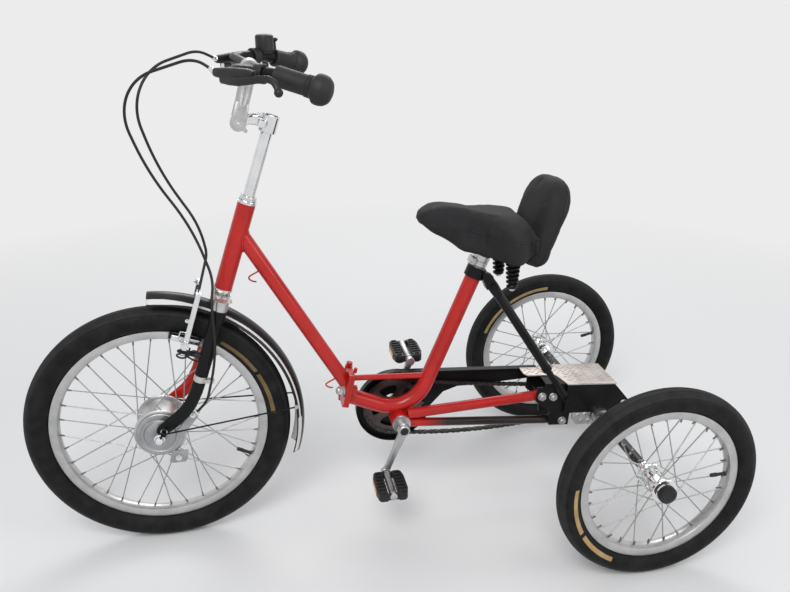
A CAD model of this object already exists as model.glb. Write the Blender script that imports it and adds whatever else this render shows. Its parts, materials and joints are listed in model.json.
import json
import math

import bmesh
import bpy
from mathutils import Matrix, Vector


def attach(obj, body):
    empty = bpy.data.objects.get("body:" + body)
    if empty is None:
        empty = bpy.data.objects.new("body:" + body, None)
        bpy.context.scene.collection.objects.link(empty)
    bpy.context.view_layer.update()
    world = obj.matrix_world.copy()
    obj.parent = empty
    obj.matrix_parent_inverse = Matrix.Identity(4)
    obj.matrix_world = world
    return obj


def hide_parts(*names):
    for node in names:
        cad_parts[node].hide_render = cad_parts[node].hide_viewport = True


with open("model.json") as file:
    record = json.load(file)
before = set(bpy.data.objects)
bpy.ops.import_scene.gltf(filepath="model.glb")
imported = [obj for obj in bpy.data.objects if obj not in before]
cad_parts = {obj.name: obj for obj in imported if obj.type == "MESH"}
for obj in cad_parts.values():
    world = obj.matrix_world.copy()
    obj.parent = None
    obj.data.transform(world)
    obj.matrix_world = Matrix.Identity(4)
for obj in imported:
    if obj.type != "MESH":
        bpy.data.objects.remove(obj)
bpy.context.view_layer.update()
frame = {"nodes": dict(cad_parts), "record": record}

nodes = frame["nodes"]
scene = bpy.context.scene


# Materials
def feed(tree, socket, value):
    """Sets a socket to a number or a colour, or links another node's output to it."""
    if isinstance(value, bpy.types.NodeSocket):
        tree.links.new(value, socket)
    elif socket.type == "RGBA":
        socket.default_value = (*value, 1.0)
    else:
        socket.default_value = value


def joined(tree, kind, inputs, out, **settings):
    """Output of a new node whose inputs are fed by name or number."""
    node = tree.nodes.new("ShaderNode" + kind)
    for setting, value in settings.items():
        setattr(node, setting, value)
    for key, value in inputs.items():
        feed(tree, node.inputs[key], value)
    return node.outputs[out]


def shader(name, base, roughness, metallic=0.0, coat=0.0, specular=0.5):
    """New material with its tree, its Principled shader and its own coordinates."""
    made = bpy.data.materials.new(name)
    made.use_nodes = True
    tree = made.node_tree
    bsdf = tree.nodes["Principled BSDF"]
    values = {"Base Color": base, "Roughness": roughness, "Metallic": metallic, "Specular IOR Level": specular}
    if coat:
        values.update({"Coat Weight": coat, "Coat Roughness": 0.08})
    for key, value in values.items():
        feed(tree, bsdf.inputs[key], value)
    return made, tree, bsdf, joined(tree, "TexCoord", {}, "Object")


def noise_node(tree, where, scale, detail=4.0):
    return joined(tree, "TexNoise", {"Vector": where, "Scale": scale, "Detail": detail, "Roughness": 0.55}, "Fac")


def ramp(tree, value, stops):
    """Colour ramp through stops of (position, colour)."""
    made = joined(tree, "ValToRGB", {"Fac": value}, "Color")
    band = made.node.color_ramp
    while len(band.elements) < len(stops):
        band.elements.new(0.5)
    for element, (position, colour) in zip(band.elements, stops):
        element.position = position
        element.color = (*colour, 1.0)
    return made


def remap(tree, value, low, high, start=0.0, end=1.0):
    """Value stretched from start and end to low and high."""
    return joined(tree, "MapRange", {
        "Value": value, "From Min": start, "From Max": end, "To Min": low, "To Max": high}, "Result")


def math_node(tree, operation, *values):
    return joined(tree, "Math", dict(enumerate(values)), "Value", operation=operation)


def mixed(tree, share, low, high):
    """Colour between two, each a colour or a socket."""
    return joined(tree, "Mix", {"Factor": share, "A": low, "B": high}, "Result", data_type="RGBA")


def bump(tree, bsdf, value, strength, distance):
    normal = joined(tree, "Bump", {"Strength": strength, "Distance": distance, "Height": value}, "Normal")
    feed(tree, bsdf.inputs["Normal"], normal)


def sprayed(tree, bsdf, where, low, high):
    """Colour drift of sprayed paint, and its orange peel."""
    bump(tree, bsdf, noise_node(tree, where, 900.0, 2.0), 0.05, 0.0004)
    return ramp(tree, noise_node(tree, where, 14.0), ((0.35, low), (0.7, high)))


def painted(name, base, roughness, coat, gloss):
    """Sprayed paint with slight colour drift and faint dust."""
    made, tree, bsdf, where = shader(name, base, roughness, coat=coat, specular=gloss)
    low = tuple(c * 0.88 for c in base)
    high = tuple(c * 1.1 + 0.004 for c in base)
    feed(tree, bsdf.inputs["Base Color"], sprayed(tree, bsdf, where, low, high))
    dust = noise_node(tree, where, 60.0)
    feed(tree, bsdf.inputs["Roughness"], remap(tree, dust, roughness * 0.8, roughness * 1.3))
    return made


def metal(name, base, roughness, grain=400.0, spots=0.0, metallic=1.0):
    """Bare or plated metal with fine grain and, if asked for, dull spots."""
    made, tree, bsdf, where = shader(name, base, roughness, metallic)
    fine = noise_node(tree, where, grain, 6.0)
    feed(tree, bsdf.inputs["Roughness"], remap(tree, fine, roughness * 0.7, roughness * 1.4))
    dull = tuple(c * (0.86 - spots) for c in base)
    feed(tree, bsdf.inputs["Base Color"], ramp(tree, noise_node(tree, where, 35.0), ((0.3, dull), (0.62, base))))
    bump(tree, bsdf, fine, 0.04, 0.0002)
    return made


def plastic(name, base, roughness, grain=700.0, depth=0.12, specks=None):
    """Moulded plastic or rubber with a fine texture, and specks of another colour if asked for."""
    made, tree, bsdf, where = shader(name, base, roughness, specular=0.3)
    fine = noise_node(tree, where, grain, 3.0)
    if specks:
        colour = ramp(tree, noise_node(tree, where, 120.0, 2.0), ((0.6, base), (0.64, specks)))
    else:
        high = tuple(c * 1.3 + 0.003 for c in base)
        colour = ramp(tree, noise_node(tree, where, 22.0), ((0.3, base), (0.75, high)))
    feed(tree, bsdf.inputs["Base Color"], colour)
    feed(tree, bsdf.inputs["Roughness"], remap(tree, fine, roughness * 0.85, roughness * 1.15))
    bump(tree, bsdf, fine, depth, 0.0005)
    return made


red = (0.46, 0.009, 0.006)
red_paint = painted("red_paint", red, 0.3, 0.35, 0.25)
black_paint = painted("black_paint", (0.005, 0.005, 0.0055), 0.34, 0.04, 0.16)
grey_cast = metal("grey_cast", (0.42, 0.43, 0.44), 0.42, grain=250.0, spots=0.1)
chrome_plate = metal("chrome_plate", (0.82, 0.83, 0.84), 0.08)
zinc_steel = metal("zinc_steel", (0.62, 0.62, 0.6), 0.33, spots=0.12)
alloy = metal("alloy", (0.78, 0.79, 0.8), 0.22)
ring_steel = metal("ring_steel", (0.13, 0.11, 0.105), 0.4, spots=0.3)
tread_alloy = metal("tread_alloy", (0.6, 0.54, 0.5), 0.42, grain=180.0, spots=0.1, metallic=0.55)
spoke_steel = metal("spoke_steel", (0.4, 0.4, 0.39), 0.3)
rim_alloy = metal("rim_alloy", (0.56, 0.56, 0.555), 0.33, grain=300.0, spots=0.04)
satin_alloy = metal("satin_alloy", (0.55, 0.55, 0.55), 0.38, grain=300.0, spots=0.08)
dark_nipple = metal("dark_nipple", (0.2, 0.19, 0.18), 0.4)
dark_chain = metal("dark_chain", (0.1, 0.093, 0.085), 0.36, spots=0.25)
amber_lens = plastic("amber_lens", (0.72, 0.3, 0.03), 0.18, grain=260.0, depth=0.5)
piping_cord = plastic("piping_cord", (0.01, 0.01, 0.011), 0.5, grain=900.0)
speckled_black = plastic("speckled_black", (0.014, 0.014, 0.015), 0.36, specks=(0.5, 0.5, 0.47))
black_plastic = plastic("black_plastic", (0.013, 0.013, 0.014), 0.42)
grip_rubber = plastic("grip_rubber", (0.016, 0.016, 0.017), 0.55, depth=0.25)
cable_skin = plastic("cable_skin", (0.012, 0.012, 0.012), 0.48, depth=0.03)
cover_cloth = plastic("cover_cloth", (0.012, 0.012, 0.013), 0.75, grain=1500.0, depth=0.35)

finishes = {
    "frame_red": red_paint, "black_paint": black_paint, "chrome": chrome_plate, "steel": zinc_steel,
    "alloy": alloy, "grey_alloy": grey_cast, "tyre": black_plastic, "grip": grip_rubber,
    "black_plastic": black_plastic, "cover": cover_cloth, "cable": cable_skin,
}
own_finish = {
    "front_spokes": spoke_steel, "rear_left_spokes": spoke_steel, "rear_right_spokes": spoke_steel,
    "chain": dark_chain, "axle_shaft": speckled_black, "bottom_bracket_cups": satin_alloy,
    "seat_post": satin_alloy, "fork_crown": zinc_steel, "hinge_pin": red_paint,
}
for entry in frame["record"]["subparts"]:
    node = nodes[entry["node"]]
    finish = own_finish.get(entry["node"], finishes[entry["material_slot"]])
    if not node.material_slots:
        node.data.materials.append(finish)
    for slot in node.material_slots:
        slot.link = "OBJECT"
        slot.material = finish


# Sizes of the object
def mm(x, y, z):
    """Point given in millimetres."""
    return Vector((x, y, z)) / 1000.0


def ray(turn):
    """Direction in the middle plane, turned up from straight ahead."""
    return Vector((math.cos(turn), 0.0, math.sin(turn)))


up = Vector((0.0, 0.0, 1.0))
left = Vector((0.0, 1.0, 0.0))
head_angle = math.radians(71.2)
steer_up = Vector((-math.cos(head_angle), 0.0, math.sin(head_angle)))
steer_ahead = Vector((math.sin(head_angle), 0.0, math.cos(head_angle)))
front_hub_centre = mm(432, 0, 256)
fork_offset = 0.044
steer_foot = front_hub_centre - Vector((fork_offset / math.sin(head_angle), 0.0, 0.0))
bracket = mm(-50, 0, 223)
axle = mm(-488, 0, 200)
half_track = 302.0
crank_run = ray(math.radians(-67.6))
crank_length = 0.102
post_top = mm(-235.9, 0, 604.1)
seat_tube_top = mm(-204.7, 0, 528.3)
main_start, main_end = mm(252, 0, 648), mm(57, 0, 308)
main_way = (main_end - main_start).normalized()


def steer_point(rise, to_left=0.0, ahead=0.0):
    """Point in millimetres: up the steering axis from hub height, to the left and ahead."""
    return steer_foot + (steer_up * rise + steer_ahead * ahead + left * to_left) / 1000.0


def hub_point(x, y, z):
    """Point in millimetres from the middle of the front hub."""
    return front_hub_centre + mm(x, y, z)


def mirrored(point, sign):
    return Vector((point.x, point.y * sign, point.z))


stem_lug = steer_point(608.6, 0.0, 52.4)
bar_centre = stem_lug + mm(-26, 0, 91)


# Forms
def finished(name, form, finish, body, stands_for=(), crease=35.0):
    """Piece made of a form, smooth but for its sharp edges, that rides on a body."""
    bmesh.ops.remove_doubles(form, verts=form.verts, dist=1e-6)
    bmesh.ops.recalc_face_normals(form, faces=form.faces)
    mesh = bpy.data.meshes.new(name)
    form.to_mesh(mesh)
    form.free()
    mesh.shade_smooth()
    mesh.set_sharp_from_angle(angle=math.radians(crease))
    mesh.materials.append(finish)
    piece = bpy.data.objects.new(name, mesh)
    scene.collection.objects.link(piece)
    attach(piece, body)
    if stands_for:
        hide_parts(*stands_for)
    return piece


def rod(form, start, end, radius, end_radius=None, sides=24):
    """Adds a closed round bar between two points."""
    run = end - start
    turn = run.to_track_quat("Z", "Y").to_matrix().to_4x4()
    bmesh.ops.create_cone(
        form, cap_ends=True, segments=sides, radius1=radius, radius2=radius if end_radius is None else end_radius,
        depth=run.length, matrix=Matrix.Translation((start + end) / 2) @ turn,
    )


def spun(form, line, closed, **turn):
    """Sweeps a line of points round an axis, or a ring of them."""
    points = [form.verts.new(point) for point in line]
    edges = [form.edges.new(pair) for pair in zip(points, points[1:] + points[:closed])]
    bmesh.ops.spin(form, geom=points + edges, **turn)


def turned(form, start, axis, profile, steps=48):
    """Adds a solid of revolution: profile lists (along the axis, radius) in millimetres."""
    across = axis.orthogonal().normalized()
    axis = axis.normalized()
    spun(form, [start + (axis * along + across * radius) / 1000.0 for along, radius in profile], 0,
         cent=start, axis=axis, angle=2 * math.pi, steps=steps, use_merge=True)


def hex_bolt(form, foot, axis, radius=5.0, height=4.0, washer=7.0):
    """Adds a hexagon head with a washer and a domed end."""
    axis = axis.normalized()
    seat = foot + axis * 0.0012
    top = foot + axis * (0.0012 + height / 1000.0)
    rod(form, foot, seat, washer / 1000.0)
    rod(form, seat, top, radius / 1000.0, sides=6)
    turned(form, top, axis, ((-0.2, radius * 0.72), (1.0, radius * 0.6), (1.6, radius * 0.3), (1.7, 0.0)), 20)


def rounded(form, corners, edge, segments):
    """Bevels every edge that meets the corners."""
    rims = {rim for corner in corners for rim in corner.link_edges}
    bmesh.ops.bevel(
        form, geom=list(rims), offset=edge / 1000.0, offset_type="OFFSET", affect="EDGES", segments=segments,
        profile=0.5, material=-1,
    )


def block(form, centre, size, turn=None, edge=0.0, taper=1.0):
    """Adds a box in millimetres, turned, narrowed at its front and with rounded edges."""
    place = Matrix.Translation(centre) @ (turn.to_4x4() if turn else Matrix.Identity(4))
    made = bmesh.ops.create_cube(form, size=1.0)
    for corner in made["verts"]:
        share = taper if corner.co.x > 0 else 1.0
        corner.co = place @ mm(corner.co.x * size[0], corner.co.y * size[1] * share, corner.co.z * size[2] * share)
    if edge:
        rounded(form, made["verts"], edge, 3)


def frame_of(ahead, upward):
    """Turn whose x runs along ahead and whose z lies nearest to upward."""
    x = ahead.normalized()
    y = upward.cross(x).normalized()
    return Matrix((x, y, x.cross(y))).transposed()


def bent_tube(form, corners, radius, resolution=6, sides=12, closed=False, kind="NURBS"):
    """Adds a round tube along a curve by the corners, or straight through them as POLY; radius in millimetres."""
    curve = bpy.data.curves.new("route", "CURVE")
    curve.dimensions = "3D"
    curve.bevel_depth = radius / 1000.0
    curve.bevel_resolution = sides // 4
    curve.resolution_u = resolution
    curve.use_fill_caps = not closed
    line = curve.splines.new(kind)
    line.points.add(len(corners) - 1)
    for point, corner in zip(line.points, corners):
        point.co = (*corner, 1.0)
    line.use_cyclic_u = closed
    if kind == "NURBS":
        line.use_endpoint_u = not closed
        line.order_u = min(4, len(corners))
    holder = bpy.data.objects.new("route", curve)
    mesh = bpy.data.meshes.new_from_object(holder)
    form.from_mesh(mesh)
    bpy.data.objects.remove(holder)
    bpy.data.curves.remove(curve)
    bpy.data.meshes.remove(mesh)


def lofted(form, rings, sides=32, square=2.0):
    """Adds a closed body through rings of (centre, along, across, half width, half depth) in millimetres."""
    loops = []
    for centre, along, across, wide, deep in rings:
        z = along.normalized()
        y = z.cross(across).normalized()
        place = Matrix((y.cross(z), y, z)).transposed().to_4x4()
        made = bmesh.ops.create_circle(form, cap_ends=False, segments=sides, radius=1.0)
        for corner in made["verts"]:
            x, w = (math.copysign(abs(c) ** (2.0 / square), c) for c in corner.co.xy)
            corner.co = centre + place @ mm(x * wide, w * deep, 0.0)
        loops.append(list({rim for corner in made["verts"] for rim in corner.link_edges}))
    for near, far in zip(loops, loops[1:]):
        bmesh.ops.bridge_loops(form, edges=near + far)
    bmesh.ops.holes_fill(form, edges=loops[0] + loops[-1], sides=sides)


def plate(form, corners, step, edge=0.0):
    """Adds a flat plate: the corners of one face, thickened by a step in millimetres."""
    points = [form.verts.new(corner) for corner in corners]
    grown = bmesh.ops.extrude_face_region(form, geom=[form.faces.new(points)])
    moved = [part for part in grown["geom"] if isinstance(part, bmesh.types.BMVert)]
    bmesh.ops.translate(form, verts=moved, vec=step / 1000.0)
    if edge:
        rounded(form, points + moved, edge, 2)


def filleted(corners, radii, steps=8):
    """Points along straight runs joined by arcs; radii in millimetres, one for each inner corner."""
    points = [corners[0]]
    for before, corner, after, radius in zip(corners, corners[1:], corners[2:], radii):
        back, ahead = (before - corner).normalized(), (after - corner).normalized()
        half = back.angle(ahead) / 2.0
        reach = radius / 1000.0 / math.tan(half)
        centre = corner + (back + ahead).normalized() * (radius / 1000.0 / math.sin(half))
        start, end = corner + back * reach - centre, corner + ahead * reach - centre
        for number in range(steps + 1):
            points.append(centre + start.lerp(end, number / steps).normalized() * start.length)
    return points + [corners[-1]]


# Wheels
def polar(tree, where, centre):
    """Angle round a wheel's axle, distance from it and place along it."""
    spot = joined(tree, "Mapping", {"Vector": where, "Location": -centre}, "Vector")
    parts = joined(tree, "SeparateXYZ", {0: spot}, "X").node.outputs
    flat = joined(tree, "VectorMath", {0: spot, 1: (1.0, 0.0, 1.0)}, "Vector", operation="MULTIPLY")
    reach = joined(tree, "VectorMath", {0: flat}, "Value", operation="LENGTH")
    return math_node(tree, "ARCTAN2", parts["Z"], parts["X"]), reach, parts["Y"]


def tyre_rubber(name, centre, radius, band_radius, arcs, glow):
    """Black tyre with a cut tread and a tan band on arcs of its wall."""
    made, tree, bsdf, where = shader(name, (0.02, 0.02, 0.021), 0.62, specular=0.15)
    angle, reach, across = polar(tree, where, centre)
    lit = [math_node(tree, "COMPARE", angle, math.radians(middle), math.radians(half)) for middle, half in arcs]
    band = math_node(tree, "MULTIPLY", math_node(tree, "COMPARE", reach, band_radius, 0.0042),
                     math_node(tree, "MAXIMUM", *lit))
    dust = noise_node(tree, where, 38.0)
    black = ramp(tree, dust, ((0.35, (0.006, 0.006, 0.0065)), (0.75, (0.017, 0.017, 0.0175))))
    tan_low, tan_high = (tuple(glow * c for c in colour) for colour in ((0.36, 0.24, 0.1), (0.5, 0.35, 0.17)))
    tan = ramp(tree, dust, ((0.35, tan_low), (0.7, tan_high)))
    on_crown = math_node(tree, "GREATER_THAN", reach, radius - 0.0095)
    wear = math_node(tree, "MULTIPLY", on_crown, remap(tree, dust, 0.1, 1.0))
    worn = mixed(tree, wear, black, (0.032, 0.032, 0.03))
    feed(tree, bsdf.inputs["Base Color"], mixed(tree, band, worn, tan))
    blocks_round, slant = round(radius * 520), 190.0
    shift = math_node(tree, "MULTIPLY", math_node(tree, "ABSOLUTE", across), slant)
    phase = math_node(tree, "MULTIPLY_ADD", angle, blocks_round, shift)
    cut = math_node(tree, "GREATER_THAN", math_node(tree, "SINE", phase), -0.62)
    wall = math_node(tree, "LESS_THAN", reach, radius - 0.0135)
    fine = noise_node(tree, where, 900.0, 2.0)
    height = math_node(tree, "MULTIPLY_ADD", fine, 0.08, math_node(tree, "MAXIMUM", cut, wall))
    bump(tree, bsdf, height, 0.55, 0.0012)
    return made


def tyre_section(radius, half, bead):
    """Outline of a tyre as (across, radius): the bulge of the wall and crown with three tread grooves."""
    x1, y1, x2, y2 = 9.5, bead + 6.0, half, (bead + radius) / 2 + 3.0
    # centre of the circle through the flange, the widest point and the crown
    a1, b1, c1 = 2 * (x2 - x1), 2 * (y2 - y1), x2 * x2 + y2 * y2 - x1 * x1 - y1 * y1
    a2, b2, c2 = -2 * x2, 2 * (radius - y2), radius * radius - x2 * x2 - y2 * y2
    share = a1 * b2 - a2 * b1
    cx, cy = (c1 * b2 - c2 * b1) / share, (a1 * c2 - a2 * c1) / share
    reach = math.hypot(x1 - cx, y1 - cy)
    start, end = math.atan2(radius - cy, -cx), math.atan2(y1 - cy, x1 - cx)
    wall = []
    for number in range(49):
        turn = start + (end - start) * number / 48
        x, y = cx + reach * math.cos(turn), cy + reach * math.sin(turn)
        sunk = 1.1 if 1.2 < x < 3.2 or 8.2 < x < 9.9 else 0.15
        if x > half * 0.72:
            sunk = 0.0 if y < radius - 14.0 else 0.5
        wall.append((x - (x - cx) / reach * sunk, y - (y - cy) / reach * sunk))
    wall = [point for point in wall if point[0] > 0.3]
    inner = [(9.5, bead + 0.4), (-9.5, bead + 0.4)]
    return wall + inner + [(-x, y) for x, y in reversed(wall)] + [wall[0]]


wheel_table = (
    # name, centre, radius, half width, bead, spokes, radius of the flanges, their places, crossing,
    # angle of the valve, tan arcs as (middle, half), strength of the tan
    ("front", front_hub_centre, 256.0, 25.0, 203.0, 36, 50.0, (30.0, -31.0), 38.0, 207.0,
     ((138.0, 12.0), (164.0, 12.0)), 0.42),
    ("rear_left", axle + left * half_track / 1000.0, 200.0, 22.5, 152.5, 28, 25.0, (26.0, -26.0), 60.0, 179.0,
     ((-10.0, 17.0), (-45.0, 15.0)), 1.0),
    ("rear_right", axle - left * half_track / 1000.0, 200.0, 22.5, 152.5, 28, 25.0, (-26.0, 26.0), 60.0, 168.0,
     ((37.0, 15.0), (72.0, 17.0)), 1.0),
)
for name, centre, radius, half, bead, spokes, flange_radius, flanges, crossing, valve, arcs, glow in wheel_table:
    body = name + "_wheel"
    form = bmesh.new()
    turned(form, centre, left, tyre_section(radius, half, bead), 144)
    rubber = tyre_rubber(name + "_tyre_rubber", centre, radius / 1000.0, (bead + 19.0) / 1000.0, arcs, glow)
    finished(name + "_tyre_body", form, rubber, body, (name + "_tyre",), 50.0)
    top, low = bead + 5.7, bead - 12.5
    form = bmesh.new()
    turned(form, centre, left, (
        (-12.3, top), (-12.5, top - 0.6), (-12.5, low + 5.0), (-11.6, low + 3.4), (-5.0, low), (5.0, low),
        (11.6, low + 3.4), (12.5, low + 5.0), (12.5, top - 0.6), (12.3, top), (10.2, top), (10.0, top - 0.6),
        (10.0, bead), (-10.0, bead), (-10.0, top - 0.6), (-10.2, top), (-12.3, top),
    ), 144)
    finished(name + "_rim_band", form, rim_alloy, body, (name + "_rim",), 30.0)
    form = bmesh.new()
    per_flange = spokes // 2
    for flange, y_flange in enumerate(flanges):
        for number in range(per_flange):
            at_rim = math.radians(360.0 / per_flange * (number + 0.5 * flange))
            lean = 1 if number % 2 else -1
            at_hub = at_rim + lean * math.radians(crossing)
            start = centre + (ray(at_hub) * (flange_radius + 1.3) + left * (y_flange + 1.8 * lean)) / 1000.0
            end = centre + (ray(at_rim) * low + left * y_flange * 0.05) / 1000.0
            run = (start - end).normalized()
            rod(form, end + run * 0.0003, end + run * 0.008, 0.0019, 0.0015, sides=8)
    finished(name + "_nipples", form, dark_nipple, body)
    form = bmesh.new()
    inward = -ray(math.radians(valve))
    turned(form, centre - inward * low / 1000.0, inward, (
        (0.2, 0.0), (0.2, 4.4), (2.0, 4.2), (3.2, 3.2), (16.0, 3.2), (16.6, 4.0), (29.0, 3.7), (30.0, 2.6),
        (30.2, 0.0),
    ), 20)
    finished(name + "_valve", form, black_plastic, body)

form = bmesh.new()
turned(form, front_hub_centre, left, (
    (-40.0, 5.06), (-40.0, 14.0), (-38.5, 16.0), (-34.0, 16.0), (-33.4, 40.0), (-33.0, 49.2), (-32.2, 50.0),
    (-29.8, 50.0), (-29.0, 49.2), (-28.0, 43.0), (-22.0, 42.0), (-20.0, 45.0), (-18.0, 46.0), (26.0, 46.0),
    (27.6, 47.0), (28.4, 49.2), (29.2, 50.0), (31.6, 50.0), (32.4, 49.0), (33.0, 46.2), (34.0, 45.6), (34.0, 5.06),
    (-40.0, 5.06),
), 72)
finished("front_hub_shell", form, satin_alloy, "front_wheel", ("front_hub",), 30.0)
for name, sign in (("rear_left", 1), ("rear_right", -1)):
    centre = axle + left * sign * half_track / 1000.0
    form = bmesh.new()
    turned(form, centre, left * sign, (
        (-50.0, 10.06), (-50.0, 14.5), (-48.6, 16.0), (-41.0, 16.0), (-40.4, 14.6), (-38.4, 14.6), (-37.8, 16.0),
        (-31.0, 16.0), (-29.4, 18.5), (-29.0, 24.2), (-28.2, 25.0), (-23.8, 25.0), (-23.0, 24.2), (-22.4, 18.5),
        (-18.0, 16.6), (18.0, 16.6), (22.4, 18.5), (23.0, 24.2), (23.8, 25.0), (28.2, 25.0), (29.0, 24.2),
        (29.4, 18.0), (31.8, 17.0), (31.8, 10.06), (-50.0, 10.06),
    ), 56)
    finished(name + "_hub_shell", form, chrome_plate, name + "_wheel", (name + "_hub",), 30.0)
    form = bmesh.new()
    turned(form, centre, left * sign, (
        (32.0, 10.2), (32.0, 16.4), (33.0, 17.5), (41.0, 17.5), (43.4, 16.4), (44.6, 13.0), (45.0, 11.0),
        (44.2, 10.4), (43.6, 0.0),
    ), 48)
    finished(name + "_hub_cap", form, black_plastic, name + "_wheel")

# Front hub brake and axle ends
form = bmesh.new()
turned(form, front_hub_centre, left, (
    (34.6, 5.2), (34.6, 44.0), (35.4, 45.2), (37.6, 45.2), (38.4, 44.2), (38.6, 38.0), (37.6, 36.5), (37.6, 31.5),
    (38.8, 30.4), (41.2, 29.4), (42.0, 27.5), (42.2, 14.0), (41.4, 12.6), (41.4, 5.2), (34.6, 5.2),
), 64)
reaction_arm = ((-20, -38), (-12, -62), (-18, -66), (-42, -66), (-47, -61), (-50, -40))
cable_arm = ((-30, 4), (-66, 44), (-71, 46), (-76, 41), (-76, 34), (-40, -12))
for outline, thick in ((reaction_arm, 5.0), (cable_arm, 4.0)):
    plate(form, [hub_point(x, 40.0, z) for x, z in outline], left * -thick, 1.0)
finished("brake_cover", form, grey_cast, "steering", ("brake_plate",), 30.0)
form = bmesh.new()
hex_bolt(form, hub_point(-30, 40.0, -55), left, 4.0, 3.5, 6.0)
hex_bolt(form, hub_point(-66, 40.0, 37), left, 3.5, 3.0, 5.0)
barrel = hub_point(-72.5, 37.5, 41.5)
rod(form, barrel + mm(-3, 0, -4), barrel + mm(3, 1.0, 7), 0.0042, 0.0036, 16)
for sign in (1, -1):
    turned(form, hub_point(0, sign * 54.5, 0), left * sign, (
        (0.2, 5.2), (0.2, 10.5), (1.8, 10.5), (2.0, 9.0), (2.4, 8.4), (8.2, 8.4), (9.6, 7.6), (11.0, 6.6),
        (11.8, 4.4), (12.0, 0.0),
    ), 36)
    hex_bolt(form, hub_point(-10, sign * 54.5, 16), left * sign, 4.6, 4.0, 6.4)
    rod(form, hub_point(0, sign * 42.4, 0), hub_point(0, sign * 49.5, 0), 0.0088)
finished("front_axle_nuts", form, chrome_plate, "steering", ("front_axle",), 30.0)

# Fork blades: each sleeves its socket, is round above, and is drawn flat into a wide end round the axle
blade_rings = (
    # rise, to the left, ahead, turn of the section, half width, half depth
    (272.0, 46.0, 0.0, 0.0, 14.9, 14.9), (254.0, 46.0, 0.0, 0.0, 14.9, 14.9), (251.6, 46.0, 0.0, 0.0, 13.6, 13.8),
    (240.0, 46.2, 0.0, 0.0, 12.6, 13.0), (180.0, 48.6, 0.0, 0.0, 10.8, 13.2), (130.0, 50.8, 0.0, 0.0, 9.4, 12.6),
    (100.0, 52.0, 0.8, 0.06, 8.4, 12.0), (72.0, 52.0, 4.6, 0.28, 7.2, 12.2), (50.0, 52.0, 12.6, 0.5, 5.4, 12.8),
    (34.0, 52.0, 22.0, 0.72, 3.6, 13.2), (20.0, 52.0, 31.5, 0.85, 2.6, 13.0), (6.0, 52.0, 41.2, 0.9, 2.5, 12.2),
    (-1.0, 52.0, 46.4, 0.9, 2.5, 9.8), (-5.0, 52.0, 49.4, 0.9, 2.5, 5.0),
)
for name, sign, finish in (("fork_left_blade", 1, black_paint), ("fork_right_blade", -1, red_paint)):
    form = bmesh.new()
    lofted(form, [
        (steer_point(rise, sign * y, ahead), steer_up - steer_ahead * turn, left, wide, deep)
        for rise, y, ahead, turn, wide, deep in blade_rings
    ])
    finished(name + "_tube", form, finish, "steering", (name,), 50.0)

# Mudguard: a rolled blade with a pale stripe near each edge, broad at its front end
striped_black, tree, bsdf, where = shader("striped_black", (0.012, 0.012, 0.013), 0.24, specular=0.25)
mud_angle, _, mud_across = polar(tree, where, front_hub_centre)
stripe_half = remap(tree, mud_angle, 0.0042, 0.0017, math.radians(97.0), math.radians(109.0))
stripe = math_node(tree, "COMPARE", math_node(tree, "ABSOLUTE", mud_across), 0.0236, stripe_half)
road_dust = ramp(tree, noise_node(tree, where, 30.0), ((0.35, (0.01, 0.01, 0.011)), (0.75, (0.024, 0.024, 0.026))))
feed(tree, bsdf.inputs["Base Color"], mixed(tree, stripe, road_dust, (0.72, 0.72, 0.7)))
blade_half, blade_low, blade_arch = 29.0, 268.0, 16.0
turn_back = Matrix.Rotation(math.radians(-0.5), 3, "Y")
section = []
for number in range(-14, 15):
    share = number / 14
    rise = blade_low + blade_arch * (1.0 - share ** 2)
    section.append(front_hub_centre + turn_back @ mm(0, blade_half * share, rise))
form = bmesh.new()
spun(form, section, 0, cent=front_hub_centre, axis=-left, angle=math.radians(106.5), steps=72)
mudguard = finished("mudguard_blade", form, striped_black, "steering", ("front_mudguard",), 60.0)
sheet = mudguard.modifiers.new("sheet", "SOLIDIFY")
sheet.thickness = 0.0014
sheet.offset = 0.0
form = bmesh.new()
tab = [steer_point(rise, y, -15.5) for rise, y in ((260.0, -9.0), (289.0, -9.0), (289.0, 9.0), (260.0, 9.0))]
plate(form, tab, steer_ahead * -2.0, 0.4)
hex_bolt(form, steer_point(275.0, 0.0, -17.6), -steer_ahead, 4.0, 3.5, 5.5)
for sign in (1, -1):
    hex_bolt(form, hub_point(-266.5, sign * 30.6, 28), left * sign, 3.0, 2.6, 4.6)
finished("mudguard_bolts", form, zinc_steel, "steering")

# Rim brake
brake_arm = (
    # to the left, rise
    (54, 169), (51, 166), (45, 166), (43, 169), (35, 192), (33, 289), (35, 293), (39, 293), (41, 289), (48, 196),
)
pad_rise, boss_rise, wire_rise = 188.0, 174.0, 288.0
form = bmesh.new()
for sign in (1, -1):
    plate(form, [steer_point(rise, sign * y, 38.0) for y, rise in brake_arm], steer_ahead * 10.0, 1.6)
    hex_bolt(form, steer_point(232.0, sign * 38.0, 47.6), steer_ahead, 4.0, 4.4, 5.0)
    holder = ((192, 58), (207, 57), (207, 46), (192, 46))
    bent_tube(form, [steer_point(rise, sign * 34.0, ahead) for rise, ahead in holder], 1.7, sides=8, kind="POLY")
    block(form, steer_point(pad_rise, sign * 25.6, 43.0), (56.0, 4.8, 11.6), frame_of(steer_ahead, steer_up), 1.4)
    for start, end, radius, sides in (
            (24.0, 55.0, 3.8, 24), (31.0, 34.0, 8.2, 24), (34.2, 36.6, 6.6, 24), (49.6, 52.2, 8.2, 24),
            (52.2, 56.5, 6.0, 6)):
        near, far = (steer_point(pad_rise, sign * y, 44.0) for y in (start, end))
        rod(form, near, far, radius / 1000.0, sides=sides)
noodle = ((294, 31, 44), (291, 30, 45), (288.5, 27, 45), (288, 20, 45), (288, 12, 45))
bent_tube(form, [steer_point(*spot) for spot in noodle], 2.6, sides=16)
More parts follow.
